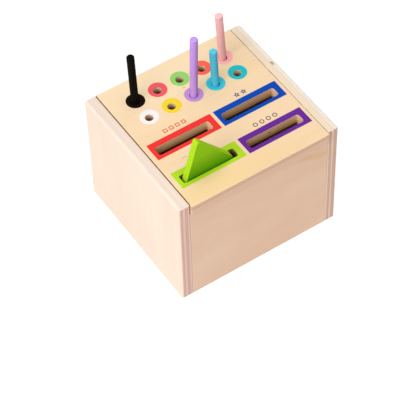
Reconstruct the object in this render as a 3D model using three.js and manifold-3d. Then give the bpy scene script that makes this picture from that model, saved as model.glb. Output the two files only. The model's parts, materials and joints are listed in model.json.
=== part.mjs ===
// Color sorting box: a plywood toy box whose hinged lid takes sticks in ringed holes and tiles in slots.
// Millimetres. X runs along the front, Y to the back, Z up. The origin is under the middle of the box.

import * as THREE from 'three';
import { mergeVertices } from 'three/addons/utils/BufferGeometryUtils.js';
import Module from 'manifold-3d';

const wasm = await Module();
wasm.setup();

// Box walls; the layout of the lid below sets the width and depth of the box
const boxHeight = 111;          // ground to the top of the lid
const sideThickness = 10;       // plywood of the two side panels
const wallThickness = 10;       // plywood of the front and back panels
const sideTopRadius = 2.6;      // rounding along the outer top edge of a side panel
const sideCornerRadius = 1.2;   // easing of a side panel's front and rear top corners
const sideUprightRadius = 2.2;  // rounding of a side panel's outer upright edges

// Bottom panel, let into grooves all round
const bottomThickness = 6;
const bottomLift = 6;           // ground to the underside of the bottom panel
const grooveDepth = 4;
const grooveGap = 0.3;          // between the bottom panel and its grooves

// Glue dowels, two in each corner joint
const dowelDiameter = 5;
const dowelInSide = 6;
const dowelInWall = 12;
const dowelFromGround = 30;     // lower dowel
const dowelFromTop = 33;        // upper dowel, below the top of the box
const dowelGap = 0.3;           // glue room round a dowel

// Lid
const lidThickness = 11;
const lidSideGap = 0.6;         // between the lid and each side panel
const lidSeatGap = 0.3;         // between the lid and the panels under it
const lidFrontReach = 2.2;      // how far the lid stands out past the front panel, to lift it by
const lidFrontRadius = 1.5;     // rounding of the front top edge
const lidRearEase = 1;          // rounding of the rear top edge, which ends the lid's swing

// Hinge pins, one at each end of the lid's rear edge
const pinDiameter = 4;
const pinInSide = 7;
const pinInLid = 9;
const pinGap = 0.3;             // running gap round a pin

// Sticks and the holes they are posted through
const stickDiameter = 6.2;
const stickLength = 90;
const stickEndRadius = 0.9;
const holePlay = 1.2;           // how much wider a hole is than a stick
const leanGap = 0.3;            // least gap left between a fully leaning stick and its hole

// Height of each stick above the lid
const blackStickHeight = 52;
const lavenderStickHeight = 64;
const cyanStickHeight = 38.5;
const pinkStickHeight = 49;

// Shape tile and the slots it is posted through
const tileWidth = 48.4;
const tileHeight = 45.4;
const tileThickness = 6.2;
const tileCornerRadius = 2.2;
const tileTurn = 12.2;          // degrees that the tile stands turned in its slot
const tileEndGap = 0.8;         // between the left end of the slot and the turned tile
const tileFrontGap = 0.9;       // between the tile and the front wall of its slot
const slotSidePlay = 2.7;       // how much wider a slot is than a tile is thick
const slotEndPlay = 2;          // how much longer a slot is than a tile is wide
const slotCornerRadius = 2;

// Printed colour on the lid, a little off the holes and slots
const printThickness = 0.2;
const ringShiftX = 0.7;
const ringShiftY = 0.8;
const ringBand = 4.15;          // width of colour round a hole
const frameShiftX = 0.8;
const frameShiftY = 0.95;
const frameBandX = 4.4;         // width of colour past the ends of a slot
const frameBandY = 4.35;        // width of colour along the sides of a slot

// Layout of the lid
const frontMargin = 15.9;       // face of the front panel to the front frames
const sideMargin = 3.7;         // each end to the frames
const rearMargin = 16.1;        // rear edge to the back rings
const frameColumnGap = 3;
const frameRowGap = 16.8;       // label room between the rows of frames
const ringsFrameGap = 16.7;     // label room between the back frames and the front rings
const ringColumnGap = 5.3;
const ringRowGap = 4.9;

// Facets on a full circle and on one rounded corner
const circleFacets = 24;
const dowelFacets = 12;
const cornerFacets = 4;

const paint = {
  black: 0x141210,
  rose: 0xf0606a,
  light_green: 0x97d977,
  coral: 0xfb5346,
  pink: 0xfba5ad,
  white: 0xf6f3f0,
  yellow: 0xfbd732,
  lavender: 0xbd90de,
  cyan: 0x35bed8,
  turquoise: 0x19bec6,
  red: 0xfb3a33,
  blue: 0x0a4fc4,
  green: 0x93e01f,
  purple: 0x6b2fa0,
};

// Left to right, with the back row first
const ringRows = [
  ['black', 'rose', 'light_green', 'coral', 'pink'],
  ['white', 'yellow', 'lavender', 'cyan', 'turquoise'],
];
const frameRows = [
  ['red', 'blue'],
  ['green', 'purple'],
];
const tileColor = 'green';

// Each stick stands in the hole of its own colour, and leans by a share of the play that the hole gives it
const sticks = [
  { color: 'black', height: blackStickHeight, leanShare: 0.44, leanToward: 151 },
  { color: 'lavender', height: lavenderStickHeight, leanShare: 0.44, leanToward: -32 },
  { color: 'cyan', height: cyanStickHeight, leanShare: 0.57, leanToward: 147 },
  { color: 'pink', height: pinkStickHeight, leanShare: 0.92, leanToward: 147 },
];

const holeDiameter = stickDiameter + holePlay;
const slotLength = tileWidth + slotEndPlay;
const slotWidth = tileThickness + slotSidePlay;
const ringDiameter = holeDiameter + 2 * ringBand;
const frameLength = slotLength + 2 * frameBandX;
const frameWidth = slotWidth + 2 * frameBandY;

// Length of a row of equal things with equal gaps
function rowLength(count, size, gap) {
  return count * size + (count - 1) * gap;
}

const lidWidth = rowLength(frameRows[0].length, frameLength, frameColumnGap) + 2 * sideMargin;
const framesDepth = rowLength(frameRows.length, frameWidth, frameRowGap);
const ringsDepth = rowLength(ringRows.length, ringDiameter, ringRowGap);
const boxWidth = lidWidth + 2 * (lidSideGap + sideThickness);
const boxDepth = frontMargin + framesDepth + ringsFrameGap + ringsDepth + rearMargin;
const insideX = boxWidth / 2 - sideThickness;
const insideY = boxDepth / 2 - wallThickness;
const wallMiddleY = boxDepth / 2 - wallThickness / 2;
const lidUnderside = boxHeight - lidThickness;
const lidMiddle = boxHeight - lidThickness / 2;
const wallTop = lidUnderside - lidSeatGap;
const pivotY = boxDepth / 2 - lidThickness / 2;

const birch = new THREE.MeshStandardMaterial({ color: 0xf0d5ae, roughness: 0.6, metalness: 0 });
const birchEdge = new THREE.MeshStandardMaterial({ color: 0xe6c9a4, roughness: 0.7, metalness: 0 });
const beech = new THREE.MeshStandardMaterial({ color: 0xd8b487, roughness: 0.7, metalness: 0 });
const steel = new THREE.MeshStandardMaterial({ color: 0xb8babd, roughness: 0.35, metalness: 0.9 });

function paintOf(color, roughness) {
  return new THREE.MeshStandardMaterial({ color: paint[color], roughness, metalness: 0 });
}

function solidOf(geometry) {
  geometry.deleteAttribute('normal');
  geometry.deleteAttribute('uv');
  const merged = mergeVertices(geometry);
  const vertProperties = new Float32Array(merged.attributes.position.array);
  const triVerts = new Uint32Array(merged.index.array);
  return new wasm.Manifold(new wasm.Mesh({ numProp: 3, vertProperties, triVerts }));
}

function geometryOf(solid) {
  const mesh = solid.getMesh();
  const geometry = new THREE.BufferGeometry();
  geometry.setAttribute('position', new THREE.BufferAttribute(mesh.vertProperties, 3));
  geometry.setIndex(new THREE.BufferAttribute(mesh.triVerts, 1));
  geometry.computeVertexNormals();
  return geometry;
}

// A box between two corners
function block(low, high) {
  const size = high.map((value, axis) => value - low[axis]);
  const geometry = new THREE.BoxGeometry(...size);
  geometry.translate(...low.map((value, axis) => value + size[axis] / 2));
  return solidOf(geometry);
}

// A round bar along X from one end to the other
function barAlongX(diameter, fromX, toX, y, z, facets) {
  const geometry = new THREE.CylinderGeometry(diameter / 2, diameter / 2, Math.abs(toX - fromX), facets);
  geometry.rotateZ(Math.PI / 2);
  geometry.translate((fromX + toX) / 2, y, z);
  return geometry;
}

// A closed outline through corners of [u, v, rounding radius], given counterclockwise
function roundedOutline(corners) {
  const outline = new THREE.Shape();
  corners.forEach(([u, v, radius], index) => {
    const corner = new THREE.Vector2(u, v);
    const before = new THREE.Vector2(...corners.at(index - 1)).sub(corner).normalize();
    const after = new THREE.Vector2(...corners[(index + 1) % corners.length]).sub(corner).normalize();
    const halfAngle = Math.acos(before.dot(after)) / 2;
    const tangent = radius / Math.tan(halfAngle);
    const start = corner.clone().addScaledVector(before, tangent);
    const inward = before.clone().add(after).normalize();
    const middle = corner.clone().addScaledVector(inward, radius / Math.sin(halfAngle));
    if (index === 0) {
      outline.moveTo(start.x, start.y);
    } else {
      outline.lineTo(start.x, start.y);
    }
    if (radius > 0) {
      const end = corner.clone().addScaledVector(after, tangent);
      const startAngle = start.sub(middle).angle();
      const endAngle = end.sub(middle).angle();
      outline.absarc(middle.x, middle.y, radius, startAngle, endAngle, false);
    }
  });
  outline.closePath();
  return outline;
}

function rectangle(width, height, radius, middleX = 0, middleY = 0) {
  const x = width / 2;
  const y = height / 2;
  return roundedOutline([
    [middleX - x, middleY - y, radius],
    [middleX + x, middleY - y, radius],
    [middleX + x, middleY + y, radius],
    [middleX - x, middleY + y, radius],
  ]);
}

function circle(diameter, middleX = 0, middleY = 0) {
  const outline = new THREE.Shape();
  outline.absarc(middleX, middleY, diameter / 2, 0, Math.PI * 2, false);
  return outline;
}

// An arc gets two facets for each segment asked for
function extrude(outline, depth, arcFacets) {
  return new THREE.ExtrudeGeometry(outline, { depth, bevelEnabled: false, curveSegments: arcFacets / 2 });
}

// An outline drawn in Y and Z, carried along X
function extrudeAlongX(outline, fromX, length) {
  const geometry = extrude(outline, length, cornerFacets);
  const [x, y, z] = [[1, 0, 0], [0, 1, 0], [0, 0, 1]].map((axis) => new THREE.Vector3(...axis));
  geometry.applyMatrix4(new THREE.Matrix4().makeBasis(y, z, x));
  geometry.translate(fromX, 0, 0);
  return geometry;
}

// An outline drawn in X and Z, carried along Y and centred on it
function extrudeAcrossY(outline, length) {
  const geometry = extrude(outline, length, cornerFacets);
  geometry.rotateX(Math.PI / 2);
  geometry.translate(0, length / 2, 0);
  return geometry;
}

// The eight glue dowels, each across one corner joint at one height
function dowelPlaces() {
  const walls = [{ wall: 'front', y: -wallMiddleY }, { wall: 'back', y: wallMiddleY }];
  const ends = [{ end: 'left', side: -1 }, { end: 'right', side: 1 }];
  const heights = [{ level: 'lower', z: dowelFromGround }, { level: 'upper', z: boxHeight - dowelFromTop }];
  const corners = walls.flatMap((wall) => ends.map((end) => ({ ...wall, ...end })));
  return corners.flatMap((corner) => heights.map((height) => ({ ...corner, ...height })));
}

// One dowel, or with a gap the hole bored for it
function dowel({ side, y, z }, gap) {
  const inWall = side * (insideX - dowelInWall - gap);
  const inSide = side * (insideX + dowelInSide + gap);
  return barAlongX(dowelDiameter + 2 * gap, inWall, inSide, y, z, dowelFacets);
}

function dowelHoles(joint) {
  return dowelPlaces().filter(joint).map((place) => solidOf(dowel(place, dowelGap)));
}

// The room that the bottom panel and its glue gap take up in the walls
function bottomRoom() {
  const reachX = insideX + grooveDepth;
  const reachY = insideY + grooveDepth;
  return block(
    [-reachX, -reachY, bottomLift - grooveGap],
    [reachX, reachY, bottomLift + bottomThickness + grooveGap],
  );
}

function pinHole(side) {
  const inSide = side * (insideX + pinInSide + pinGap);
  const inLid = side * (lidWidth / 2 - pinInLid - pinGap);
  return solidOf(barAlongX(pinDiameter + 2 * pinGap, inSide, inLid, pivotY, lidMiddle, circleFacets));
}

// Side panel: side is -1 on the left and 1 on the right
function sidePanel(side) {
  const outer = side * boxWidth / 2;
  const inner = side * insideX;
  const corners = [
    [inner, 0, 0],
    [outer, 0, 0],
    [outer, boxHeight, sideTopRadius],
    [inner, boxHeight, 0],
  ];
  const section = roundedOutline(side > 0 ? corners : corners.reverse());
  const outline = roundedOutline([
    [-boxDepth / 2, 0, 0],
    [boxDepth / 2, 0, 0],
    [boxDepth / 2, boxHeight, sideCornerRadius],
    [-boxDepth / 2, boxHeight, sideCornerRadius],
  ]);
  const planCorners = [
    [inner, -boxDepth / 2, 0],
    [outer, -boxDepth / 2, sideUprightRadius],
    [outer, boxDepth / 2, sideUprightRadius],
    [inner, boxDepth / 2, 0],
  ];
  const plan = roundedOutline(side > 0 ? planCorners : planCorners.reverse());
  let panel = solidOf(extrudeAcrossY(section, boxDepth));
  panel = panel.intersect(solidOf(extrudeAlongX(outline, Math.min(inner, outer), sideThickness)));
  panel = panel.intersect(solidOf(extrude(plan, boxHeight, cornerFacets)));
  panel = panel.subtract(bottomRoom());
  panel = panel.subtract(pinHole(side));
  for (const hole of dowelHoles((place) => place.side === side)) {
    panel = panel.subtract(hole);
  }
  return geometryOf(panel);
}

// Front or back panel, between the side panels and under the lid
function wallPanel(wallY) {
  let panel = block(
    [-insideX, wallY - wallThickness / 2, 0],
    [insideX, wallY + wallThickness / 2, wallTop],
  );
  panel = panel.subtract(bottomRoom());
  for (const hole of dowelHoles((place) => place.y === wallY)) {
    panel = panel.subtract(hole);
  }
  return geometryOf(panel);
}

function bottomPanel() {
  const reachX = insideX + grooveDepth - grooveGap;
  const reachY = insideY + grooveDepth - grooveGap;
  return geometryOf(block(
    [-reachX, -reachY, bottomLift],
    [reachX, reachY, bottomLift + bottomThickness],
  ));
}

function hingePin(side) {
  const inSide = side * (insideX + pinInSide);
  const inLid = side * (lidWidth / 2 - pinInLid);
  return barAlongX(pinDiameter, inSide, inLid, pivotY, lidMiddle, circleFacets);
}

// Every round hole, with its ring's colour and its middle on the lid
function holePlaces() {
  return ringRows.flatMap((row, rowIndex) => row.map((color, column) => ({
    color,
    x: (column - (row.length - 1) / 2) * (ringDiameter + ringColumnGap),
    y: boxDepth / 2 - rearMargin - ringDiameter / 2 - rowIndex * (ringDiameter + ringRowGap),
  })));
}

// Every slot, with its frame's colour and its middle on the lid
function slotPlaces() {
  return frameRows.flatMap((row, rowIndex) => row.map((color, column) => ({
    color,
    x: (column - (row.length - 1) / 2) * (frameLength + frameColumnGap),
    y: -boxDepth / 2 + frontMargin + framesDepth - frameWidth / 2 - rowIndex * (frameWidth + frameRowGap),
  })));
}

// Lid: the rear end is rounded about the hinge pins below, so that it turns clear of the back panel
function lidPanel() {
  const frontY = -boxDepth / 2 - lidFrontReach;
  const section = roundedOutline([
    [frontY, lidUnderside, 0],
    [boxDepth / 2, lidUnderside, lidThickness / 2],
    [boxDepth / 2, boxHeight, lidRearEase],
    [frontY, boxHeight, lidFrontRadius],
  ]);
  let lid = solidOf(extrudeAlongX(section, -lidWidth / 2, lidWidth));
  const cutters = [
    ...holePlaces().map(({ x, y }) => extrude(circle(holeDiameter, x, y), 2 * lidThickness, circleFacets)),
    ...slotPlaces().map(({ x, y }) => {
      const outline = rectangle(slotLength, slotWidth, slotCornerRadius, x, y);
      return extrude(outline, 2 * lidThickness, cornerFacets);
    }),
  ];
  for (const cutter of cutters) {
    cutter.translate(0, 0, lidMiddle - lidThickness);
    lid = lid.subtract(solidOf(cutter));
  }
  for (const side of [-1, 1]) {
    lid = lid.subtract(pinHole(side));
  }
  return geometryOf(lid);
}

// Colour printed round one hole, with the drilled edge inside it
function printedRing() {
  const outline = circle(ringDiameter, ringShiftX, ringShiftY);
  outline.holes.push(circle(holeDiameter));
  return extrude(outline, printThickness, circleFacets);
}

// Colour printed round one slot, with the routed edge inside it
function printedFrame() {
  const outline = rectangle(frameLength, frameWidth, 0, frameShiftX, frameShiftY);
  outline.holes.push(rectangle(slotLength, slotWidth, slotCornerRadius));
  return extrude(outline, printThickness, cornerFacets);
}

// A round stick with eased ends, turned about Z, with z = 0 where it crosses the middle of the lid
function stickShape(height) {
  const top = height + lidThickness / 2;
  const foot = top - stickLength;
  const radius = stickDiameter / 2;
  const flat = radius - stickEndRadius;
  const profile = new THREE.Path();
  profile.moveTo(0, foot);
  profile.lineTo(flat, foot);
  profile.absarc(flat, foot + stickEndRadius, stickEndRadius, -Math.PI / 2, 0, false);
  profile.lineTo(radius, top - stickEndRadius);
  profile.absarc(flat, top - stickEndRadius, stickEndRadius, 0, Math.PI / 2, false);
  profile.lineTo(0, top);
  const geometry = new THREE.LatheGeometry(profile.getPoints(cornerFacets / 2), circleFacets);
  geometry.rotateX(Math.PI / 2);
  return geometry;
}

function leanDirection({ leanShare, leanToward }) {
  const mostLean = Math.atan((holePlay - 2 * leanGap) / lidThickness);
  const lean = mostLean * leanShare;
  const toward = THREE.MathUtils.degToRad(leanToward);
  return new THREE.Vector3(
    Math.sin(lean) * Math.cos(toward),
    Math.sin(lean) * Math.sin(toward),
    Math.cos(lean),
  );
}

// Triangle tile drawn in X and Z about the middle of its base, then turned to the left about that point
function tileShape() {
  const outline = roundedOutline([
    [-tileWidth / 2, 0, tileCornerRadius],
    [tileWidth / 2, 0, tileCornerRadius],
    [0, tileHeight, tileCornerRadius],
  ]);
  const geometry = extrudeAcrossY(outline, tileThickness);
  geometry.rotateY(-THREE.MathUtils.degToRad(tileTurn));
  return geometry;
}

// The origin is under the middle of the whole box, with the lid's reach counted in
const box = new THREE.Group();
box.position.y = lidFrontReach / 2;

function addPiece(name, geometry, material) {
  const piece = new THREE.Mesh(geometry, material);
  piece.name = name;
  box.add(piece);
  return piece;
}

addPiece('left_side_panel', sidePanel(-1), birchEdge);
addPiece('right_side_panel', sidePanel(1), birchEdge);
addPiece('front_panel', wallPanel(-wallMiddleY), birch);
addPiece('back_panel', wallPanel(wallMiddleY), birch);
addPiece('bottom_panel', bottomPanel(), birch);
addPiece('hinge_pin_left', hingePin(-1), steel);
addPiece('hinge_pin_right', hingePin(1), steel);
addPiece('lid_panel', lidPanel(), birch);

for (const place of dowelPlaces()) {
  addPiece(`dowel_${place.wall}_${place.end}_${place.level}`, dowel(place, 0), beech);
}

for (const { color, x, y } of holePlaces()) {
  addPiece(`ring_${color}`, printedRing(), paintOf(color, 0.45)).position.set(x, y, boxHeight);
}

for (const { color, x, y } of slotPlaces()) {
  addPiece(`frame_${color}`, printedFrame(), paintOf(color, 0.45)).position.set(x, y, boxHeight);
}

for (const stick of sticks) {
  const hole = holePlaces().find(({ color }) => color === stick.color);
  const piece = addPiece(`stick_${stick.color}`, stickShape(stick.height), paintOf(stick.color, 0.4));
  piece.position.set(hole.x, hole.y, lidMiddle);
  piece.quaternion.setFromUnitVectors(new THREE.Vector3(0, 0, 1), leanDirection(stick));
}

const tileSlot = slotPlaces().find(({ color }) => color === tileColor);
const turnedTile = tileShape();
turnedTile.computeBoundingBox();
addPiece('triangle_tile', turnedTile, paintOf(tileColor, 0.4)).position.set(
  tileSlot.x - slotLength / 2 + tileEndGap - turnedTile.boundingBox.min.x,
  tileSlot.y - slotWidth / 2 + tileFrontGap + tileThickness / 2,
  lidMiddle,
);

export default box;
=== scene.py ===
import json
import math

import bmesh
import bpy
from mathutils import Matrix, Vector


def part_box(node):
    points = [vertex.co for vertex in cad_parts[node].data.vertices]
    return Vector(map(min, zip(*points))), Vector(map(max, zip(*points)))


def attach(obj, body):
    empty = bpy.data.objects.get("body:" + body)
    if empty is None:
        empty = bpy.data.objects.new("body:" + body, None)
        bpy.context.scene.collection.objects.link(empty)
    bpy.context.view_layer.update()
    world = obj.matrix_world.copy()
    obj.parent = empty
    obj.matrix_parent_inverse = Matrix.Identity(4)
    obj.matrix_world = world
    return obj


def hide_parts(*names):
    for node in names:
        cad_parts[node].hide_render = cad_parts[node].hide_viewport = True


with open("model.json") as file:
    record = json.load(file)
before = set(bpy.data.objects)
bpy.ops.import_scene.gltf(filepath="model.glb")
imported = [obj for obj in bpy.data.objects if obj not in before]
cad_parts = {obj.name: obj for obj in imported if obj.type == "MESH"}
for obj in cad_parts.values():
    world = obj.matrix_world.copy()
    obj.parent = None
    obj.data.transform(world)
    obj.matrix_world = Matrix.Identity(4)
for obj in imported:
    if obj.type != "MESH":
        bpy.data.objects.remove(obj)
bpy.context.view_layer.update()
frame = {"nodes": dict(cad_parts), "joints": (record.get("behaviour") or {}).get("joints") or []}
mm = 0.001
closeEnough = 1e-6              # metres, for places that should agree
edgeSteps = 6                   # facets across a rounded edge of a board
smoothAngle = 40                # degrees, and sharper edges stay crisp
axisIndex = {"X": 0, "Y": 1, "Z": 2}
sideOfBox = {"left": (0, 0), "right": (0, 1), "front": (1, 0), "back": (1, 1), "under": (2, 0), "top": (2, 1)}
print("frame loaded,", len(frame["nodes"]), "nodes")


# Small tools for modelling

def deselectAll():
    bpy.ops.object.select_all(action="DESELECT")


def makeActive(piece):
    deselectAll()
    piece.select_set(True)
    bpy.context.view_layer.objects.active = piece


def applyPlace(piece):
    makeActive(piece)
    bpy.ops.object.transform_apply(location=True, rotation=True, scale=True)


def finishPlacing(name):
    piece = bpy.context.object
    piece.name = name
    piece.data.name = name
    applyPlace(piece)
    return piece


def startCube(name, low, high):
    deselectAll()
    bpy.ops.mesh.primitive_cube_add(size=1, location=(low + high) / 2, scale=high - low)
    return finishPlacing(name)


def startCylinder(name, middle, radius, length, along, corners):
    turn = {"X": (0, math.pi / 2, 0), "Z": (0, 0, 0)}[along]
    deselectAll()
    bpy.ops.mesh.primitive_cylinder_add(
        vertices=corners, radius=radius, depth=length, location=middle, rotation=turn)
    return finishPlacing(name)


def selectParts(piece, kind, wanted):
    # kind is VERT, EDGE or FACE, and the piece stays in edit mode
    makeActive(piece)
    bpy.ops.object.mode_set(mode="EDIT")
    bpy.ops.mesh.select_mode(type=kind)
    bpy.ops.mesh.select_all(action="DESELECT")
    shape = bmesh.from_edit_mesh(piece.data)
    for part in {"VERT": shape.verts, "EDGE": shape.edges, "FACE": shape.faces}[kind]:
        if wanted(part):
            part.select_set(True)
    bmesh.update_edit_mesh(piece.data)


def leaveEdit():
    bpy.ops.object.mode_set(mode="OBJECT")


def bevelEdges(piece, wanted, width, steps):
    selectParts(piece, "EDGE", wanted)
    bpy.ops.mesh.bevel(offset=width, segments=steps)
    leaveEdit()


def applyModifier(piece, kind, **settings):
    makeActive(piece)
    bpy.ops.object.modifier_add(type=kind)
    modifier = piece.modifiers[-1]
    for key, value in settings.items():
        setattr(modifier, key, value)
    bpy.ops.object.modifier_apply(modifier=modifier.name)


def boxOf(piece):
    corners = [vertex.co for vertex in piece.data.vertices]
    low = Vector([min(corner[axis] for corner in corners) for axis in range(3)])
    high = Vector([max(corner[axis] for corner in corners) for axis in range(3)])
    return low, high


def spanAlong(edge, axis):
    index = axisIndex[axis]
    return abs(edge.verts[0].co[index] - edge.verts[1].co[index])


def roundCube(piece, ease, rounded=None):
    # rounded holds edges by the two sides they lie between, such as "left top"
    low, high = boxOf(piece)
    rounded = rounded or {}
    widest = max([ease, *rounded.values()])

    def liesBetween(edge, sides):
        middle = (edge.verts[0].co + edge.verts[1].co) / 2
        for side in sides.split():
            axis, end = sideOfBox[side]
            if abs(middle[axis] - (low, high)[end][axis]) > closeEnough:
                return False
        return True

    selectParts(piece, "EDGE", lambda edge: not any(liesBetween(edge, sides) for sides in rounded))
    bpy.ops.transform.edge_bevelweight(value=ease / widest)
    leaveEdit()
    for sides, radius in rounded.items():
        selectParts(piece, "EDGE", lambda edge: liesBetween(edge, sides))
        bpy.ops.transform.edge_bevelweight(value=radius / widest)
        leaveEdit()
    applyModifier(piece, "BEVEL", width=widest, segments=edgeSteps, limit_method="WEIGHT")


def cutAway(piece, cutters):
    for cutter in cutters:
        applyModifier(piece, "BOOLEAN", operation="DIFFERENCE", object=cutter, solver="EXACT")


def copyOf(piece, name, shift=(0, 0, 0)):
    makeActive(piece)
    bpy.ops.object.duplicate(linked=False)
    bpy.ops.transform.translate(value=shift)
    return finishPlacing(name)


def discard(pieces):
    deselectAll()
    for piece in pieces:
        piece.select_set(True)
    bpy.ops.object.delete()


def joinAll(pieces):
    makeActive(pieces[0])
    for piece in pieces:
        piece.select_set(True)
    bpy.ops.object.join()
    return pieces[0]


def smoothShade(piece):
    makeActive(piece)
    bpy.ops.object.shade_smooth_by_angle(angle=math.radians(smoothAngle))
    applyModifier(piece, "WEIGHTED_NORMAL", keep_sharp=True)


def handOver(piece, body, finish, slot, *nodes):
    piece.data.materials.clear()
    piece.data.materials.append(finish)
    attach(piece, body)
    if nodes:
        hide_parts(*nodes)


def coverFaces(piece, finish, wanted):
    piece.data.materials.append(finish)
    piece.active_material_index = len(piece.data.materials) - 1
    selectParts(piece, "FACE", wanted)
    bpy.ops.object.material_slot_assign()
    leaveEdit()


# Small tools for finishes

grainSpan = (0.3, 0.7)          # of the grain's noise, from smoothest to roughest
roughSwing = (-0.06, 0.08)      # of wood and paint, round their roughness
fineDetail = (4.0, 0.6)         # of the grain's noise: how many finer waves it has, and their strength


def tone(hexText):
    # a screen's colour as amounts of light
    parts = [int(hexText[start:start + 2], 16) / 255 for start in (1, 3, 5)]
    linear = [part / 12.92 if part <= 0.04045 else ((part + 0.055) / 1.055) ** 2.4 for part in parts]
    return (*linear, 1)


def shaded(hexText, share):
    return (*(Vector(tone(hexText)[:3]) * share), 1)


def addNode(tree, kind, inputs=None, **settings):
    made = tree.nodes.new("ShaderNode" + kind)
    for key, value in settings.items():
        setattr(made, key, value)
    for socket, value in (inputs or {}).items():
        if isinstance(value, bpy.types.NodeSocket):
            tree.links.new(value, made.inputs[socket])
        else:
            made.inputs[socket].default_value = value
    return made


def maths(tree, operation, first, second=0.0, third=0.0):
    inputs = {0: first, 1: second, 2: third}
    return addNode(tree, "Math", inputs, operation=operation).outputs[0]


def vectorMaths(tree, operation, first, second, result=0):
    return addNode(tree, "VectorMath", {0: first, 1: second}, operation=operation).outputs[result]


def spread(tree, value, fromLow, fromHigh, toLow=0.0, toHigh=1.0):
    inputs = {"Value": value, "From Min": fromLow, "From Max": fromHigh, "To Min": toLow, "To Max": toHigh}
    return addNode(tree, "MapRange", inputs, clamp=True).outputs["Result"]


def noise(tree, place, detail=2.0, roughness=0.5):
    inputs = {"Vector": place, "Scale": 1.0, "Detail": detail, "Roughness": roughness}
    return addNode(tree, "TexNoise", inputs).outputs["Fac"]


def stretched(tree, place, scales):
    return vectorMaths(tree, "MULTIPLY", place, scales)


def mixTone(tree, share, first, second, blend="MIX"):
    inputs = {0: share, 6: first, 7: second}          # 6 and 7 are the colour sockets
    return addNode(tree, "Mix", inputs, data_type="RGBA", blend_type=blend).outputs[2]


def newFinish(name, roughness, specular):
    finish = bpy.data.materials.new(name)
    finish.use_nodes = True
    tree = finish.node_tree
    shader = tree.nodes["Principled BSDF"]
    shader.inputs["Roughness"].default_value = roughness
    shader.inputs["Specular IOR Level"].default_value = specular
    return finish, tree, shader


def roughen(tree, shader, grain, roughness, swing=roughSwing):
    rough = spread(tree, grain, *grainSpan, roughness + swing[0], roughness + swing[1])
    tree.links.new(rough, shader.inputs["Roughness"])


def addBump(tree, shader, height, depth):
    bump = addNode(tree, "Bump", {"Height": height, "Strength": 1.0, "Distance": depth})
    tree.links.new(bump.outputs["Normal"], shader.inputs["Normal"])


# Plywood: layers across the thickness, each cut along or across its own grain.
# A board's look has its plies and glue line in millimetres, from the low side up.

birch = {
    "long ply": "#ECC6B6",          # inner layers cut along the grain
    "end ply": "#DAB1A2",           # inner layers cut across the grain
    "glue": "#8A6448",
    "fleck": "#A87E58",
    "specular": 0.3,
    "bump": 0.05 * mm,
    "pore depth": 0.6,              # as a share of the bump
    "fibre": (14, 420),             # along and across the grain, waves per metre
    "figure": (5, 46),
    "clouds": (9, 17),
    "flecks": (260, 1900),
    "speckle": 1700,
    "speckle detail": (2.0, 0.7),
    "layer wave": 70,
    "wander": 26,                   # of the grain
    "wander reach": 14 * mm,
    "inner strength": 0.4,
    "speckle strength": 0.15,
    "mark fade": (0.4, 1.2),        # from full to gone, as shares of a mark's half size
    "ragged rim": 0.6,
    "shade fade": 1 * mm,
}
# what part of its noise each pattern shows, from faint to full
shownNoise = {
    "clouds": (0.36, 0.64), "figure": (0.46, 0.7), "fibre": (0.45, 0.75), "inner": (0.4, 0.7),
    "flecks": (0.68, 0.78), "pores": (0.66, 0.76), "speckle": (0.35, 0.7),
}
# how squarely a surface faces an axis, from no effect to the full one
squareness = {
    "face": (0.3, 0.8), "end grain": (0.35, 0.9), "top": (0.25, 0.7), "mark": (0.7, 0.95), "end": (0.5, 1.0),
}


def softMark(place, size, hexText, strength, face, span=squareness["mark"]):
    # a knot, streak or pale strip, with its place and half sizes in millimetres
    return {"place": place, "size": size, "tone": hexText, "strength": strength, "face": face, "span": span}


def plyRamp(tree, depth, stops, smooth=False):
    # a stop's level is a grey or a tone
    ramp = addNode(tree, "ValToRGB", {0: depth})
    ramp.color_ramp.interpolation = "LINEAR" if smooth else "CONSTANT"
    elements = ramp.color_ramp.elements
    for start, level in stops:
        elements.new(start).color = tone(level) if isinstance(level, str) else (level, level, level, 1)
    elements.remove(elements[0])          # the two stops that a ramp starts with
    elements.remove(elements[-1])
    return ramp.outputs["Color"]


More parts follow.
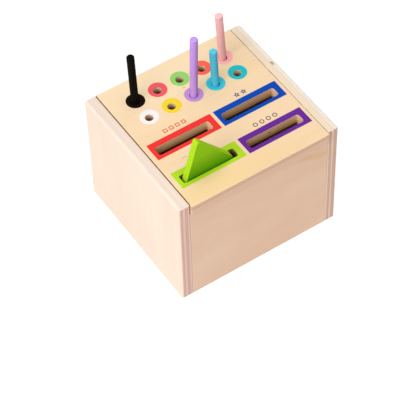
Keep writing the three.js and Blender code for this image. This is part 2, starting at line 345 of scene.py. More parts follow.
def plywood(name, node, look):
    low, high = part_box(node)
    through = axisIndex[look["through"]]
    grain = axisIndex[look["grain"]]
    cross = 3 - through - grain         # the third axis
    finish, tree, shader = newFinish(name, look["roughness"], birch["specular"])
    coordinates = addNode(tree, "TexCoord")
    spot = coordinates.outputs["Object"]
    place = addNode(tree, "Mapping", {"Vector": spot, "Location": look["offset"]}).outputs["Vector"]
    position = addNode(tree, "SeparateXYZ", {0: spot})
    normal = addNode(tree, "SeparateXYZ", {0: coordinates.outputs["Normal"]})

    def facing(axis, span, least=0.0, most=1.0):
        return spread(tree, maths(tree, "ABSOLUTE", normal.outputs[axis]), *span, least, most)

    # how deep in the board, a little wavy, as a share of its thickness
    wave = noise(tree, stretched(tree, place, (birch["layer wave"],) * 3), 1.0)
    wave = maths(tree, "MULTIPLY_ADD", wave, look["wave"], -look["wave"] / 2)
    depth = maths(tree, "ADD", position.outputs[through], wave)
    depth = spread(tree, depth, low[through], high[through])
    thickness = sum(look["plies"])
    edges = [sum(look["plies"][:count]) / thickness for count in range(len(look["plies"]) + 1)]
    half = look["glue line"] / thickness / 2
    crossing = plyRamp(tree, depth, [(start, index % 2) for index, start in enumerate(edges[:-1])])
    skin = plyRamp(tree, depth, [(0, 1), (edges[1], 0), (edges[-2], 1)])
    skin = maths(tree, "MULTIPLY", skin, facing(through, squareness["face"]))
    lines = []
    for start, strength in zip(edges[1:-1], look["glue strengths"]):
        lines += [(start - half, 0), (start, strength), (start + half, 0)]
    glue = plyRamp(tree, depth, lines, True)

    # a layer shows end grain where the surface faces along its fibres
    endOfLong = facing(grain, squareness["end grain"])
    endOfCross = facing(cross, squareness["end grain"])
    endGrain = mixTone(tree, crossing, endOfLong, endOfCross)

    wander = noise(tree, stretched(tree, place, (birch["wander"],) * 3), 1.0)
    wander = maths(tree, "MULTIPLY_ADD", wander, 2 * birch["wander reach"], -birch["wander reach"])
    wandering = vectorMaths(tree, "ADD", place, wander)

    def run(start, scales):
        along, across = scales
        straight = [across] * 3
        straight[grain] = along
        turned = [across] * 3
        turned[cross] = along
        scale = mixTone(tree, crossing, (*straight, 1), (*turned, 1))
        return stretched(tree, start, scale)

    fibre = noise(tree, run(place, birch["fibre"]), *fineDetail)
    figure = noise(tree, run(wandering, birch["figure"]))
    clouds = noise(tree, run(wandering, birch["clouds"]))
    flecks = noise(tree, run(place, birch["flecks"]), 1.0)
    speckle = noise(tree, stretched(tree, place, (birch["speckle"],) * 3), *birch["speckle detail"])
    clouded = spread(tree, clouds, *shownNoise["clouds"])
    figured = spread(tree, figure, *shownNoise["figure"], 0, look["figure strength"])
    fibrous = spread(tree, fibre, *shownNoise["fibre"], 0, look["fibre strength"])
    flecked = spread(tree, flecks, *shownNoise["flecks"], 0, look["fleck strength"])
    speckled = spread(tree, speckle, *shownNoise["speckle"], 0, birch["speckle strength"])

    # face veneer
    figureTone = tone(look["figure"])
    veneer = mixTone(tree, clouded, tone(look["veneer"]), tone(look["cloud"]))
    veneer = mixTone(tree, figured, veneer, figureTone)
    veneer = mixTone(tree, fibrous, veneer, figureTone)

    # edges: inner layers, end grain and glue lines
    longPly = tone(look.get("long ply", birch["long ply"]))
    endPly = tone(look.get("end ply", birch["end ply"]))
    inner = spread(tree, fibre, *shownNoise["inner"], 0, birch["inner strength"])
    inner = mixTone(tree, inner, longPly, endPly)
    longCut = mixTone(tree, skin, inner, veneer)
    longCut = mixTone(tree, flecked, longCut, tone(birch["fleck"]))
    endCut = mixTone(tree, speckled, endPly, tone(birch["glue"]))
    color = mixTone(tree, maths(tree, "MULTIPLY", endGrain, look["edge strength"]), longCut, endCut)
    color = mixTone(tree, glue, color, tone(birch["glue"]))
    if "top tone" in look:
        sanded = mixTone(tree, fibrous, tone(look["top tone"]), figureTone)
        color = mixTone(tree, facing("Z", squareness["top"], 0, look["top strength"]), color, sanded)

    # marks are soft ovals with a ragged rim
    ragged = maths(tree, "MULTIPLY_ADD", fibre, birch["ragged rim"], -birch["ragged rim"] / 2)
    for mark in look.get("marks", ()):
        scales = [1 / (size * mm) for size in mark["size"]]
        offset = vectorMaths(tree, "SUBTRACT", spot, Vector(mark["place"]) * mm)
        reach = vectorMaths(tree, "LENGTH", stretched(tree, offset, scales), (0, 0, 0), "Value")
        reach = maths(tree, "ADD", reach, ragged)
        share = spread(tree, reach, *birch["mark fade"], mark["strength"], 0)
        share = maths(tree, "MULTIPLY", share, facing(mark["face"], mark["span"]))
        color = mixTone(tree, share, color, tone(mark["tone"]))
    # painted shade: cut walls darken towards the underside, and the lid's end darkens in its gap, by
    # multiplying a ramp over the height; faces along X take only their own share of it
    if "scorchAndShade" in look:
        scorchAndShade = plyRamp(tree, spread(tree, position.outputs["Z"], low.z, high.z), look["scorchAndShade"], True)
        start = low.y + look["shade start"]
        share = spread(tree, position.outputs["Y"], start, start + birch["shade fade"])
        share = maths(tree, "MULTIPLY", share, facing("X", squareness["end"], 1.0, look["end shade"]))
        color = mixTone(tree, share, color, scorchAndShade, "MULTIPLY")
    tree.links.new(color, shader.inputs["Base Color"])

    roughen(tree, shader, fibre, look["roughness"])
    pores = maths(tree, "MULTIPLY", spread(tree, flecks, *shownNoise["pores"]), birch["pore depth"])
    addBump(tree, shader, maths(tree, "SUBTRACT", fibre, pores), birch["bump"])
    return finish


# Room for the glue dowels, the hinge pins and the bottom board

joinery = {"groove gap": 0.3 * mm, "dowel gap": 0.3 * mm, "pin gap": 0.3 * mm, "corners": 32}
dowelNodes = [name for name in frame["nodes"] if name.startswith("dowel_")]
pinNodes = [name for name in frame["nodes"] if name.startswith("hinge_pin_")]


def barCutter(node, gap):
    low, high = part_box(node)
    radius = (high.z - low.z) / 2 + gap
    length = high.x - low.x + 2 * gap
    return startCylinder(node + "Room", (low + high) / 2, radius, length, "X", joinery["corners"])


def bottomCutter():
    low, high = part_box("bottom_panel")
    gap = Vector((1, 1, 1)) * joinery["groove gap"]
    return startCube("bottomRoom", low - gap, high + gap)


def joineryCutters(words):
    cutters = [barCutter(name, joinery["dowel gap"]) for name in dowelNodes if words in name]
    cutters += [barCutter(name, joinery["pin gap"]) for name in pinNodes if words in name]
    return cutters + [bottomCutter()]


# Side panels

sidePanels = {
    "look": {
        "through": "X", "grain": "Z", "plies": (1.4, 2.1, 2.0, 2.7, 1.8), "glue line": 0.3,
        "wave": 0.35 * mm, "veneer": "#E6D3C0", "cloud": "#E3CEBC", "figure": "#DBC1AA",
        "figure strength": 0.15, "fibre strength": 0.15, "fleck strength": 0.1, "edge strength": 1.0,
        "glue strengths": (0.2, 0.2, 0.2, 0.2), "top tone": "#E7D8C9", "top strength": 0.8,
        "roughness": 0.55,
    },
    "left": {"offset": (0.31, 0.12, 0.07)},
    "right": {
        # the right top tone is a touch lighter than the left's, as painted light on a top that faces away
        # from the key
        "offset": (1.17, 0.45, 0.29), "long ply": "#E8CAB4", "end ply": "#D6AC96", "top tone": "#E8DCC8",
        "marks": [
            softMark((65, 0, 111), (5, 300, 5), "#E7D2B3", 0.7, "Z"),                   # inner top edge
            softMark((75, 0, 109), (3.6, 300, 5), "#F8F0E4", 0.9, "Z", (0.2, 0.5)),     # painted light on the rounded outer top edge, which faces away from the key
            softMark((65, -70, 110.5), (2, 190, 4), "#FFF6E6", 0.95, "X"),              # painted light beside the lid, lifting the shaded gap wall
            softMark((71.3, 18.4, 111), (1.5, 2.8, 2.4), "#A0724E", 0.75, "Z"),         # knot
        ],
    },
    "top radius": 2.6 * mm,
    "corner radius": 1.2 * mm,
    "upright radius": 2.2 * mm,
    "inner ease": 0.1 * mm,         # beside the lid
    "ease": 0.6 * mm,
}


def makeSide(side):
    node = side + "_side_panel"
    inner = {"left": "right", "right": "left"}[side]
    panel = startCube(side + "SidePanel", *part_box(node))
    roundCube(panel, sidePanels["ease"], {
        side + " top": sidePanels["top radius"],
        inner + " top": sidePanels["inner ease"],
        "front top": sidePanels["corner radius"],
        "back top": sidePanels["corner radius"],
        side + " front": sidePanels["upright radius"],
        side + " back": sidePanels["upright radius"],
    })
    cutters = joineryCutters("_" + side)
    cutAway(panel, cutters)
    discard(cutters)
    smoothShade(panel)
    finish = plywood(side + "SidePlywood", node, {**sidePanels["look"], **sidePanels[side]})
    handOver(panel, "box", finish, "birch_plywood", node)


for side in ("left", "right"):
    makeSide(side)
print("side panels made")


# Front and back panels

wallPanels = {
    "look": {
        "through": "Y", "grain": "X", "plies": (1.3, 2.5, 2.2, 2.7, 1.3), "glue line": 0.3,
        "wave": 0.35 * mm, "veneer": "#EBC8AC", "cloud": "#E7C0A3", "figure": "#D8AF90",
        "figure strength": 0.2, "fibre strength": 0.12, "fleck strength": 0.15, "edge strength": 1.0,
        "glue strengths": (0.3, 0.3, 0.3, 0.3), "roughness": 0.55,
    },
    "front": {
        "offset": (0.52, 0.83, 0.36),
        "marks": [
            softMark((43, -67.4, 94), (9, 4, 2.4), "#DBAE6A", 0.4, "Y"),        # one streak in three lengths
            softMark((51, -67.4, 90.8), (10, 4, 2.8), "#DBAE6A", 0.5, "Y"),
            softMark((59.5, -67.4, 87.4), (9, 4, 3.2), "#DBAE6A", 0.5, "Y"),
        ],
    },
    "back": {"offset": (1.43, 1.28, 0.91)},
    "ease": 0.5 * mm,
}


def makeWall(wall):
    node = wall + "_panel"
    panel = startCube(wall + "Panel", *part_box(node))
    roundCube(panel, wallPanels["ease"])
    cutters = joineryCutters("_" + wall)
    cutAway(panel, cutters)
    discard(cutters)
    smoothShade(panel)
    finish = plywood(wall + "Plywood", node, {**wallPanels["look"], **wallPanels[wall]})
    handOver(panel, "box", finish, "birch_plywood", node)


for wall in ("front", "back"):
    makeWall(wall)
print("front and back panels made")


# Bottom board

bottomBoard = {
    "look": {
        "through": "Z", "grain": "X", "plies": (1.2, 1.2, 1.2, 1.2, 1.2), "glue line": 0.25,
        "wave": 0.25 * mm, "veneer": "#EBD0AE", "cloud": "#E8C9A8", "figure": "#D5AF88",
        "figure strength": 0.35, "fibre strength": 0.3, "fleck strength": 0.3, "edge strength": 1.0,
        "glue strengths": (0.5, 0.5, 0.5, 0.5), "roughness": 0.6, "offset": (0.66, 0.21, 1.35),
    },
    "ease": 0.4 * mm,
}


def makeBottom():
    board = startCube("bottomBoard", *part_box("bottom_panel"))
    roundCube(board, bottomBoard["ease"])
    smoothShade(board)
    finish = plywood("bottomPlywood", "bottom_panel", bottomBoard["look"])
    handOver(board, "box", finish, "birch_plywood", "bottom_panel")


makeBottom()
print("bottom board made")


# Lid: a board with rounded front and tail, pierced for the sticks and tiles

lid = {
    "front radius": 1.5 * mm,
    "rear ease": 1.0 * mm,
    "left ease": 0.45 * mm,
    "right ease": 0.1 * mm,
    "tail radius": 5.5 * mm,
    "ease": 0.35 * mm,
    "rim": 0.25 * mm,               # rounding of the cut edges
    "rim steps": 3,
    "hole radius": 3.7 * mm,
    "hole corners": 64,
    "slot size": (50.4 * mm, 8.9 * mm),
    "slot corner": 2.0 * mm,
    "slot corner steps": 8,
    "ring shift": (0.7 * mm, 0.8 * mm),     # of the printed colour off the cuts
    "frame shift": (0.8 * mm, 0.95 * mm),
    "ring overlap": 0.2 * mm,       # of the colour into the holes
}
# limits on a face's normal, to tell level faces, walls of cuts and the end apart
normalLimits = {"level": 0.9, "upright": 0.1, "wall": 0.5, "end": 0.3}
lidFace = {
    "through": "Z", "grain": "X", "plies": (1.8, 2.7, 2.6, 2.2, 1.7), "glue line": 0.8, "wave": 0.2 * mm,
    "veneer": "#EDD0A6", "cloud": "#ECCEAA", "figure": "#E0BC8E", "roughness": 0.5,
    "figure strength": 0.2, "fibre strength": 0.2, "fleck strength": 0.25, "edge strength": 0.3,
    "glue strengths": (0.1, 0.1, 1.0, 0.9), "long ply": "#E6BEA1", "end ply": "#DAB193",
    "offset": (0.93, 0.57, 0.18),
    "marks": [
        softMark((-20, -62, 111), (70, 15, 8), "#E9C88E", 0.7, "Z"),            # warmer front
        softMark((-15, 62, 111), (85, 45, 8), "#F2DAB4", 0.75, "Z"),            # paler rear, painted light that lifts the shade at the back
        softMark((-41.7, -24.6, 111), (2.2, 0.5, 0.5), "#A8845C", 0.7, "Z"),    # two small flecks
        softMark((-1.8, 36.7, 111), (1.8, 0.6, 0.6), "#A8845C", 0.6, "Z"),
    ],
}
# walls of the cuts, a little scorched by the cutter and darkened towards the underside as painted shade deep
# in the cut, with the stops of that scorch and shade from the underside to the top; slot end walls, which
# face the key, get none of it and stay pale as lit walls
slotWall = {
    **lidFace, "edge strength": 0.5, "glue strengths": (0.8, 0.8, 0.8, 0.8), "roughness": 0.65,
    "long ply": "#FACEA6", "end ply": "#FAE4CC", "end shade": 0.0, "shade start": 0,
    "scorchAndShade": [(0.0, "#0A0806"), (0.11, "#342E25"), (0.22, "#BCAE8C"), (0.5, "#F3E6C2"), (0.9, "#FFFFFF")],
    "marks": [softMark((29.2, -38.2, 106.6), (0.9, 1, 0.8), "#5A3A28", 0.85, "Y")],     # knot
}
holeWall = {
    **slotWall, "glue strengths": (0.4, 0.4, 0.4, 0.3), "long ply": "#F8DCBC", "end shade": 1.0,
    "scorchAndShade": [(0.0, "#593821"), (0.12, "#774F34"), (0.3, "#937257"), (0.5, "#AD987A"), (0.72, "#F0E4D2"),
              (0.9, "#FFFFFF")],
}
# cuts with a stick or the tile standing in them, darker as painted shadow of the stick or tile
shadowedHoleWall = {**holeWall, "scorchAndShade": [(0.0, "#20140C"), (0.5, "#3C2C20"), (0.95, "#75614E")]}
shadowedSlotWall = {**holeWall, "scorchAndShade": [(0.0, "#2A1E16"), (0.5, "#62503F"), (0.95, "#C4B4A2")]}
# the end in the gap, with painted shade making it dark up to where the lid stands out at the front
shadedLidEnd = {
    **lidFace, "edge strength": 0.8, "end shade": 1.0, "shade start": 2.2 * mm,
    "scorchAndShade": [(0.0, "#A0825A"), (0.9, "#A0825A")],
}
ringNodes = [name for name in frame["nodes"] if name.startswith("ring_")]
frameNodes = [name for name in frame["nodes"] if name.startswith("frame_")]
lidLow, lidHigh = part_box("lid_panel")
cutDepth = 4 * (lidHigh.z - lidLow.z)       # well out of both faces


def cutMiddle(node):
    low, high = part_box(node)
    shift = lid["ring shift" if node in ringNodes else "frame shift"]
    middle = (low + high) / 2 - Vector((*shift, 0))
    middle.z = (lidLow.z + lidHigh.z) / 2
    return middle


def holeCutter(node, overlap=0.0):
    radius = lid["hole radius"] - overlap
    return startCylinder(node + "Hole", cutMiddle(node), radius, cutDepth, "Z", lid["hole corners"])


def slotCutter(node):
    length, width = lid["slot size"]
    half = Vector((length, width, cutDepth)) / 2
    middle = cutMiddle(node)
    cutter = startCube(node + "Slot", middle - half, middle + half)
    bevelEdges(cutter, lambda edge: spanAlong(edge, "Z") > closeEnough, lid["slot corner"],
               lid["slot corner steps"])
    return cutter


def isRim(edge):
    onTop = all(abs(vert.co.z - lidHigh.z) < closeEnough for vert in edge.verts)
    beneath = all(abs(vert.co.z - lidLow.z) < closeEnough for vert in edge.verts)
    if not (onTop or beneath) or len(edge.link_faces) != 2:
        return False
    wallRise, faceRise = sorted(abs(face.normal.z) for face in edge.link_faces)
    return wallRise < normalLimits["upright"] and faceRise > normalLimits["level"]


def wallsOfCuts(piece, nodes, reach):
    middles = [cutMiddle(node) for node in nodes]
    walls = set()
    for face in piece.data.polygons:
        gaps = [face.center - middle for middle in middles]
        inside = any(abs(gap.x) < reach[0] and abs(gap.y) < reach[1] for gap in gaps)
        if inside and abs(face.normal.z) < normalLimits["wall"]:
            walls.add(face.index)
    return walls


def isLeftEnd(face):
    depth = face.calc_center_median().x - lidLow.x
    return face.normal.x < -normalLimits["end"] and depth < lid["left ease"]


def makeLid():
    board = startCube("lidBoard", lidLow, lidHigh)
    roundCube(board, lid["ease"], {
        "front top": lid["front radius"],
        "left top": lid["left ease"],
        "right top": lid["right ease"],
        "back top": lid["rear ease"],
        "back under": lid["tail radius"],
    })
    cutters = [holeCutter(node) for node in ringNodes]
    cutters += [slotCutter(node) for node in frameNodes]
    cutters += [barCutter(node, joinery["pin gap"]) for node in pinNodes]
    cutAway(board, cutters)
    discard(cutters)
    bevelEdges(board, isRim, lid["rim"], lid["rim steps"])
    smoothShade(board)
    finish = plywood("lidPlywood", "lid_panel", lidFace)
    handOver(board, "lid", finish, "birch_plywood", "lid_panel")
    holeReach = (lid["hole radius"] + lid["rim"],) * 2
    slotReach = [size / 2 + lid["rim"] for size in lid["slot size"]]
    filledHoles = [node for node in ringNodes if node.replace("ring", "stick") in frame["nodes"]]
    cuts = (
        ("holePlywood", holeWall, ringNodes, holeReach),
        ("slotPlywood", slotWall, frameNodes, slotReach),
        ("shadowedHolePlywood", shadowedHoleWall, filledHoles, holeReach),
        ("shadowedSlotPlywood", shadowedSlotWall, ["frame_green"], slotReach),
    )
    for name, look, nodes, reach in cuts:
        walls = wallsOfCuts(board, nodes, reach)
        coverFaces(board, plywood(name, "lid_panel", look), lambda face: face.index in walls)
    coverFaces(board, plywood("shadedLidEndPlywood", "lid_panel", shadedLidEnd), isLeftEnd)


makeLid()
print("lid made")


# Paint and printed ink, with the wood's grain faintly under them

coat = {
    "cloud": 90,                    # waves per metre
    "cloud span": (0.3, 0.7),
    "cloud shade": 0.97,
    "grain span": (0.5, 0.8),
    "grain shade": 0.8,
}


def colorCoat(name, hexText, grainScales, look):
    finish, tree, shader = newFinish(name, look["roughness"], look["specular"])
    place = addNode(tree, "TexCoord").outputs["Object"]
    grain = noise(tree, stretched(tree, place, grainScales), *fineDetail)
    cloud = noise(tree, stretched(tree, place, (coat["cloud"],) * 3))
    clouded = spread(tree, cloud, *coat["cloud span"])
    color = mixTone(tree, clouded, shaded(hexText, coat["cloud shade"]), tone(hexText))
    grained = spread(tree, grain, *coat["grain span"], 0, look["grain"])
    color = mixTone(tree, grained, color, shaded(hexText, coat["grain shade"]))
    # painted shade: darker towards a piece's foot, fading out between two heights
    if "foot shade tone" in look:
        rise = addNode(tree, "SeparateXYZ", {0: place}).outputs["Z"]
        color = mixTone(tree, spread(tree, rise, *look["foot shade fade"]), tone(look["foot shade tone"]), color)
    tree.links.new(color, shader.inputs["Base Color"])
    roughen(tree, shader, grain, look["roughness"])
    addBump(tree, shader, grain, look["bump"])
    return finish


# Printed colour on the lid

ink = {
    "black": "#190F0C", "rose": "#EC5A62", "light_green": "#8FD068", "coral": "#F9644F", "pink": "#FDB0B2",
    "white": "#EDE8E4", "yellow": "#ECD02B", "lavender": "#C18ED0", "cyan": "#38BFD9", "turquoise": "#1AB8C1",
    "red": "#E9322D", "blue": "#0044AC", "green": "#AAD421", "purple": "#652692",
    "edge": 0.06 * mm,
    "edge steps": 2,
    "edge angle": 50,               # degrees, and blunter edges aren't eased
    "ring corners": 96,
    "look": {"roughness": 0.5, "specular": 0.1, "grain": 0.15, "bump": 0.03 * mm},
    "black look": {"specular": 0.03},
    "grain": (16, 480, 480),
}


def startRing(node):
    low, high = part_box(node)
    radius = (high.x - low.x) / 2
    disc = startCylinder(node + "_print", (low + high) / 2, radius, high.z - low.z, "Z", ink["ring corners"])
    return disc, holeCutter(node, lid["ring overlap"])


def startFrame(node):
    slab = startCube(node + "_print", *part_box(node))
    return slab, slotCutter(node)


def makePrints(nodes, start):
    # one patch is cut and eased, and the others are its copies
    patch, cutter = start(nodes[0])
    cutAway(patch, [cutter])
    discard([cutter])
    applyModifier(patch, "BEVEL", width=ink["edge"], segments=ink["edge steps"], limit_method="ANGLE",
                  angle_limit=math.radians(ink["edge angle"]))
    smoothShade(patch)
    patches = [patch]
    for node in nodes[1:]:
        patches.append(copyOf(patch, node + "_print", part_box(node)[0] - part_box(nodes[0])[0]))
    for node, patch in zip(nodes, patches):
        color = node.split("_", 1)[1]
        look = {**ink["look"], **ink.get(color + " look", {})}
        finish = colorCoat(node + "Ink", ink[color], ink["grain"], look)
        handOver(patch, "lid", finish, "print_" + color, node)


makePrints(ringNodes, startRing)
makePrints(frameNodes, startFrame)
print("printed rings and frames made")


# Printed signs that show which shape each slot takes, placed and sized in millimetres

signs = {
    "square": {"middle": (-30.5, 6.5), "row": 20.6, "count": 4, "corners": 4, "turn": 45, "size": 3.6,
               "tone": "#D8402E", "slot": "print_red"},
    "star": {"middle": (31.6, 6.0), "row": 11.9, "count": 2, "corners": 10, "turn": 0, "size": 5.5,
             "tone": "#2A3570", "slot": "print_blue"},
    "circle": {"middle": (31.75, -28.5), "row": 22.5, "count": 4, "corners": 40, "turn": 0, "size": 4.0,
               "tone": "#4A2A58", "slot": "print_purple"},
    "triangle": {"middle": (-31, -28.4), "row": 16, "count": 3, "corners": 3, "turn": 0, "size": 4.4,
                 "tone": "#5C9E22", "slot": "print_green"},
}
signLine = {"stroke": 0.6 * mm, "thickness": 0.1 * mm, "star waist": 0.45}


def makeSign(shape):
    sign = signs[shape]
    x = sign["middle"][0] - (sign["row"] - sign["size"]) / 2
    middle = Vector((x * mm, sign["middle"][1] * mm, lidHigh.z))
    radius = sign["size"] / 2 * mm
    if shape == "square":
        radius *= math.sqrt(2)          # corners lie further out than the sides
    deselectAll()
    bpy.ops.mesh.primitive_circle_add(
        vertices=sign["corners"], radius=radius, fill_type="NGON", location=middle,
        rotation=(0, 0, math.radians(sign["turn"])))
    mark = finishPlacing(shape + "Signs")
    if shape == "star":
        waist = {vertex.index for vertex in mark.data.vertices if vertex.index % 2}
        selectParts(mark, "VERT", lambda vert: vert.index in waist)
        pull = signLine["star waist"]
        bpy.ops.transform.resize(value=(pull, pull, 1), center_override=middle)
        leaveEdit()
    selectParts(mark, "FACE", lambda face: True)
    bpy.ops.mesh.inset(thickness=signLine["stroke"])
    bpy.ops.mesh.delete(type="FACE")
    leaveEdit()
    applyModifier(mark, "SOLIDIFY", thickness=signLine["thickness"], offset=1)
    return mark


def makeRow(shape):
    sign = signs[shape]
    first = makeSign(shape)
    step = (sign["row"] - sign["size"]) / (sign["count"] - 1) * mm
    copies = [copyOf(first, shape + "Copy", (index * step, 0, 0)) for index in range(1, sign["count"])]
    row = joinAll([first, *copies])
    finish = colorCoat(shape + "SignInk", sign["tone"], ink["grain"], ink["look"])
    handOver(row, "lid", finish, sign["slot"])


for shape in signs:
    makeRow(shape)
print("signs made")


# Sticks: round rods with eased ends and the shallow dents of sanding, leaning as they slide

sticks = {
    "tones": {"black": "#0F0B08", "lavender": "#C295E9", "cyan": "#47CAEA", "pink": "#FFC0BF"},
    "radius": 3.1 * mm,
    "length": 90 * mm,
    "end radius": 0.9 * mm,
    "end steps": 5,
    "corners": 48,
    "rings": 36,
    "dents": 0.05 * mm,
    "dent spacing": 9 * mm,
    "look": {"roughness": 0.45, "specular": 0.45, "grain": 0.15, "bump": 0.04 * mm},
    "black look": {"roughness": 0.55, "specular": 0.04},
    "grain": (420, 420, 16),
}
slideAxes = {joint["child"]: Vector(joint["axis"]) for joint in frame["joints"]}
stickDents = bpy.data.textures.new("stickDents", "CLOUDS")
stickDents.noise_scale = sticks["dent spacing"]


def makeRod():
    rod = startCylinder("plainRod", (0, 0, 0), sticks["radius"], sticks["length"], "Z", sticks["corners"])
    half = sticks["length"] / 2
    bevelEdges(rod, lambda edge: all(abs(abs(vert.co.z) - half) < closeEnough for vert in edge.verts),
               sticks["end radius"], sticks["end steps"])
    selectParts(rod, "EDGE", lambda edge: spanAlong(edge, "Z") > half)
    bpy.ops.mesh.subdivide(number_cuts=sticks["rings"])
    leaveEdit()
    return rod


def makeStick(color, plainRod):
    node = "stick_" + color
    low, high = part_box(node)
    rod = copyOf(plainRod, color + "Stick")
    rod.rotation_euler = Vector((0, 0, 1)).rotation_difference(slideAxes[node]).to_euler()
    rod.location = (low + high) / 2
    applyPlace(rod)
    applyModifier(rod, "DISPLACE", texture=stickDents, strength=sticks["dents"], mid_level=1.0)
    smoothShade(rod)
    look = {**sticks["look"], **sticks.get(color + " look", {})}
    finish = colorCoat(color + "Paint", sticks["tones"][color], sticks["grain"], look)
    handOver(rod, node, finish, "paint_" + color, node)


plainRod = makeRod()
for color in sticks["tones"]:
    makeStick(color, plainRod)
discard([plainRod])
print("sticks made")


# Tile: a triangle with blunt corners and eased edges, standing turned in its slot

tile = {
    "width": 48.4 * mm,
    "height": 45.4 * mm,
    "thickness": 6.2 * mm,
    "corner radius": 2.2 * mm,
    "corner steps": 8,
    "ease": 0.5 * mm,
    "ease steps": 3,
    "turn": 12.2,                   # degrees to the left
    "edge tone": "#A7D11F",
    "face tone": "#8EC616",
    "look": {"roughness": 0.55, "specular": 0.03, "grain": 0.1, "bump": 0.04 * mm},
    "foot shade look": {"foot shade tone": "#489A06", "foot shade fade": (108 * mm, 132 * mm)},       # painted shade, darker towards the slot and fading out between these heights
    "grain": (18, 420, 420),
    "corner bend": 0.5,             # limits on normals, to tell corners and broad faces
    "broad face": 0.95,
}


def isCorner(edge):
    normals = [face.normal for face in edge.link_faces]
    bent = len(normals) == 2 and normals[0].dot(normals[1]) < tile["corner bend"]
    return bent and spanAlong(edge, "Y") > tile["thickness"] / 2


def isOutline(edge):
    onFace = abs(edge.verts[0].co.y) > tile["thickness"] / 2 - closeEnough
    return onFace and spanAlong(edge, "Y") < closeEnough


def makeTile():
    low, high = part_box("triangle_tile")
    # the prism's corners lie on a circle of radius 1, so its sides are the root of 3 and its height is 1.5
    scale = (tile["width"] / math.sqrt(3), tile["height"] / 1.5, tile["thickness"])
    deselectAll()
    bpy.ops.mesh.primitive_cylinder_add(
        vertices=3, radius=1, depth=1, rotation=(math.pi / 2, 0, 0), scale=scale)
    slab = finishPlacing("triangleTile")
    apexAngle = 2 * math.atan(tile["width"] / 2 / tile["height"])
    baseAngle = (math.pi - apexAngle) / 2
    apexReach, baseReach = (tile["corner radius"] / math.tan(angle / 2) for angle in (apexAngle, baseAngle))
    bevelEdges(slab, lambda edge: isCorner(edge) and edge.verts[0].co.z > 0, apexReach, tile["corner steps"])
    bevelEdges(slab, isCorner, baseReach, tile["corner steps"])
    bevelEdges(slab, isOutline, tile["ease"], tile["ease steps"])
    slab.rotation_euler = (0, -math.radians(tile["turn"]), 0)
    applyPlace(slab)
    ownLow, ownHigh = boxOf(slab)
    slab.location = (low + high) / 2 - (ownLow + ownHigh) / 2
    applyPlace(slab)
    smoothShade(slab)
    edgeFinish = colorCoat("tileEdgePaint", tile["edge tone"], tile["grain"], tile["look"])
    handOver(slab, "triangle_tile", edgeFinish, "paint_green", "triangle_tile")
    faceLook = {**tile["look"], **tile["foot shade look"]}
    faceFinish = colorCoat("tileFacePaintAndShade", tile["face tone"], tile["grain"], faceLook)
    coverFaces(slab, faceFinish, lambda face: abs(face.normal.y) > tile["broad face"])


makeTile()
print("tile made")


# Hidden dowels and hinge pins keep their shapes and get their own finishes

dowelWood = {
    "tone": "#D2AC80", "grain tone": "#A87C50", "grain": (30, 900, 900), "grain detail": (3.0, 0.6),
    "grain span": (0.4, 0.7), "roughness": 0.7, "specular": 0.3, "bump": 0.05 * mm,
}
pinSteel = {
    "tone": "#B9BBBE", "grain shade": 0.85, "grain": (30, 2600, 2600), "grain span": (0.35, 0.65),
    "roughness": 0.32, "specular": 0.5, "rough swing": (-0.08, 0.08),
}


def beechFinish():
    finish, tree, shader = newFinish("dowelBeech", dowelWood["roughness"], dowelWood["specular"])
    place = addNode(tree, "TexCoord").outputs["Object"]
    grain = noise(tree, stretched(tree, place, dowelWood["grain"]), *dowelWood["grain detail"])
    grained = spread(tree, grain, *dowelWood["grain span"])
    color = mixTone(tree, grained, tone(dowelWood["tone"]), tone(dowelWood["grain tone"]))
    tree.links.new(color, shader.inputs["Base Color"])
    addBump(tree, shader, grain, dowelWood["bump"])
    return finish


def steelFinish():
    finish, tree, shader = newFinish("pinSteel", pinSteel["roughness"], pinSteel["specular"])
    shader.inputs["Metallic"].default_value = 1.0
    place = addNode(tree, "TexCoord").outputs["Object"]
    grain = noise(tree, stretched(tree, place, pinSteel["grain"]))
    grained = spread(tree, grain, *pinSteel["grain span"])
    color = mixTone(tree, grained, shaded(pinSteel["tone"], pinSteel["grain shade"]), tone(pinSteel["tone"]))
    tree.links.new(color, shader.inputs["Base Color"])
    roughen(tree, shader, grain, pinSteel["roughness"], pinSteel["rough swing"])
    return finish


for finish, nodes in ((beechFinish(), dowelNodes), (steelFinish(), pinNodes)):
    for node in nodes:
        frame["nodes"][node].material_slots[0].material = finish
print("dowels and pins finished")


# Camera at the photograph's place, for a square picture

camera = {
    "place": (-0.540852, -0.841064, 1.228982),
    "turn": -32.103,                # degrees round the upright axis
    "tilt": 50.746,                 # degrees above the horizon
    "roll": -1.979,
    "lens": 171.196,                # millimetres
    "sensor": 36,
    "nearest": 0.01,
}


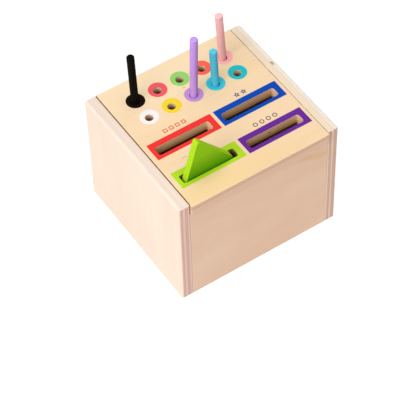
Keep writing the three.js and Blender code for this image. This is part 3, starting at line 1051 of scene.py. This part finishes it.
def makeCamera():
    deselectAll()
    bpy.ops.object.camera_add(location=camera["place"])
    viewer = bpy.context.object
    viewer.name = "photoCamera"
    aim = Matrix.Rotation(math.radians(camera["turn"]), 3, "Z")
    aim = aim @ Matrix.Rotation(math.radians(90 - camera["tilt"]), 3, "X")
    aim = aim @ Matrix.Rotation(math.radians(camera["roll"]), 3, "Z")
    viewer.rotation_euler = aim.to_euler()
    viewer.data.sensor_width = camera["sensor"]
    viewer.data.lens = camera["lens"]
    viewer.data.clip_start = camera["nearest"]
    bpy.context.scene.camera = viewer


makeCamera()


# Floor and light

studio = {
    "floor size": 6.0,
    "floor tone": (0.12, 0.12, 0.12, 1),
    "floor glow": 0.95,
    "floor roughness": 0.9,
    "floor specular": 0.1,
    "white": (1, 1, 1, 1),
    "sky": 0.15,
    "aim": (0, 0, 0.06),            # what the lights point at
    "key": {"place": (-2.6, -0.92, 1.35), "size": 2.3, "power": 73},
    "top": {"place": (0, 0, 2.2), "size": 2.5, "power": 46.5},
}


def makeFloor():
    deselectAll()
    bpy.ops.mesh.primitive_plane_add(size=studio["floor size"], location=(0, 0, 0))
    ground = finishPlacing("studioFloor")
    finish, _, shader = newFinish("paleFloor", studio["floor roughness"], studio["floor specular"])
    shader.inputs["Base Color"].default_value = studio["floor tone"]
    shader.inputs["Emission Color"].default_value = studio["white"]
    shader.inputs["Emission Strength"].default_value = studio["floor glow"]
    ground.data.materials.append(finish)


def makeLight(name):
    light = studio[name]
    deselectAll()
    bpy.ops.object.light_add(type="AREA", location=light["place"])
    lamp = bpy.context.object
    lamp.name = name + "Light"
    lamp.data.shape = "SQUARE"
    lamp.data.size = light["size"]
    lamp.data.energy = light["power"]
    aim = Vector(studio["aim"]) - Vector(light["place"])
    lamp.rotation_euler = aim.to_track_quat("-Z", "Y").to_euler()


def makeSky():
    sky = bpy.data.worlds.new("studioSky")
    sky.use_nodes = True
    background = sky.node_tree.nodes["Background"]
    background.inputs["Color"].default_value = studio["white"]
    background.inputs["Strength"].default_value = studio["sky"]
    bpy.context.scene.world = sky


makeFloor()
for name in ("key", "top"):
    makeLight(name)
makeSky()
bpy.context.scene.view_settings.view_transform = "Standard"
print("camera, floor and light set")
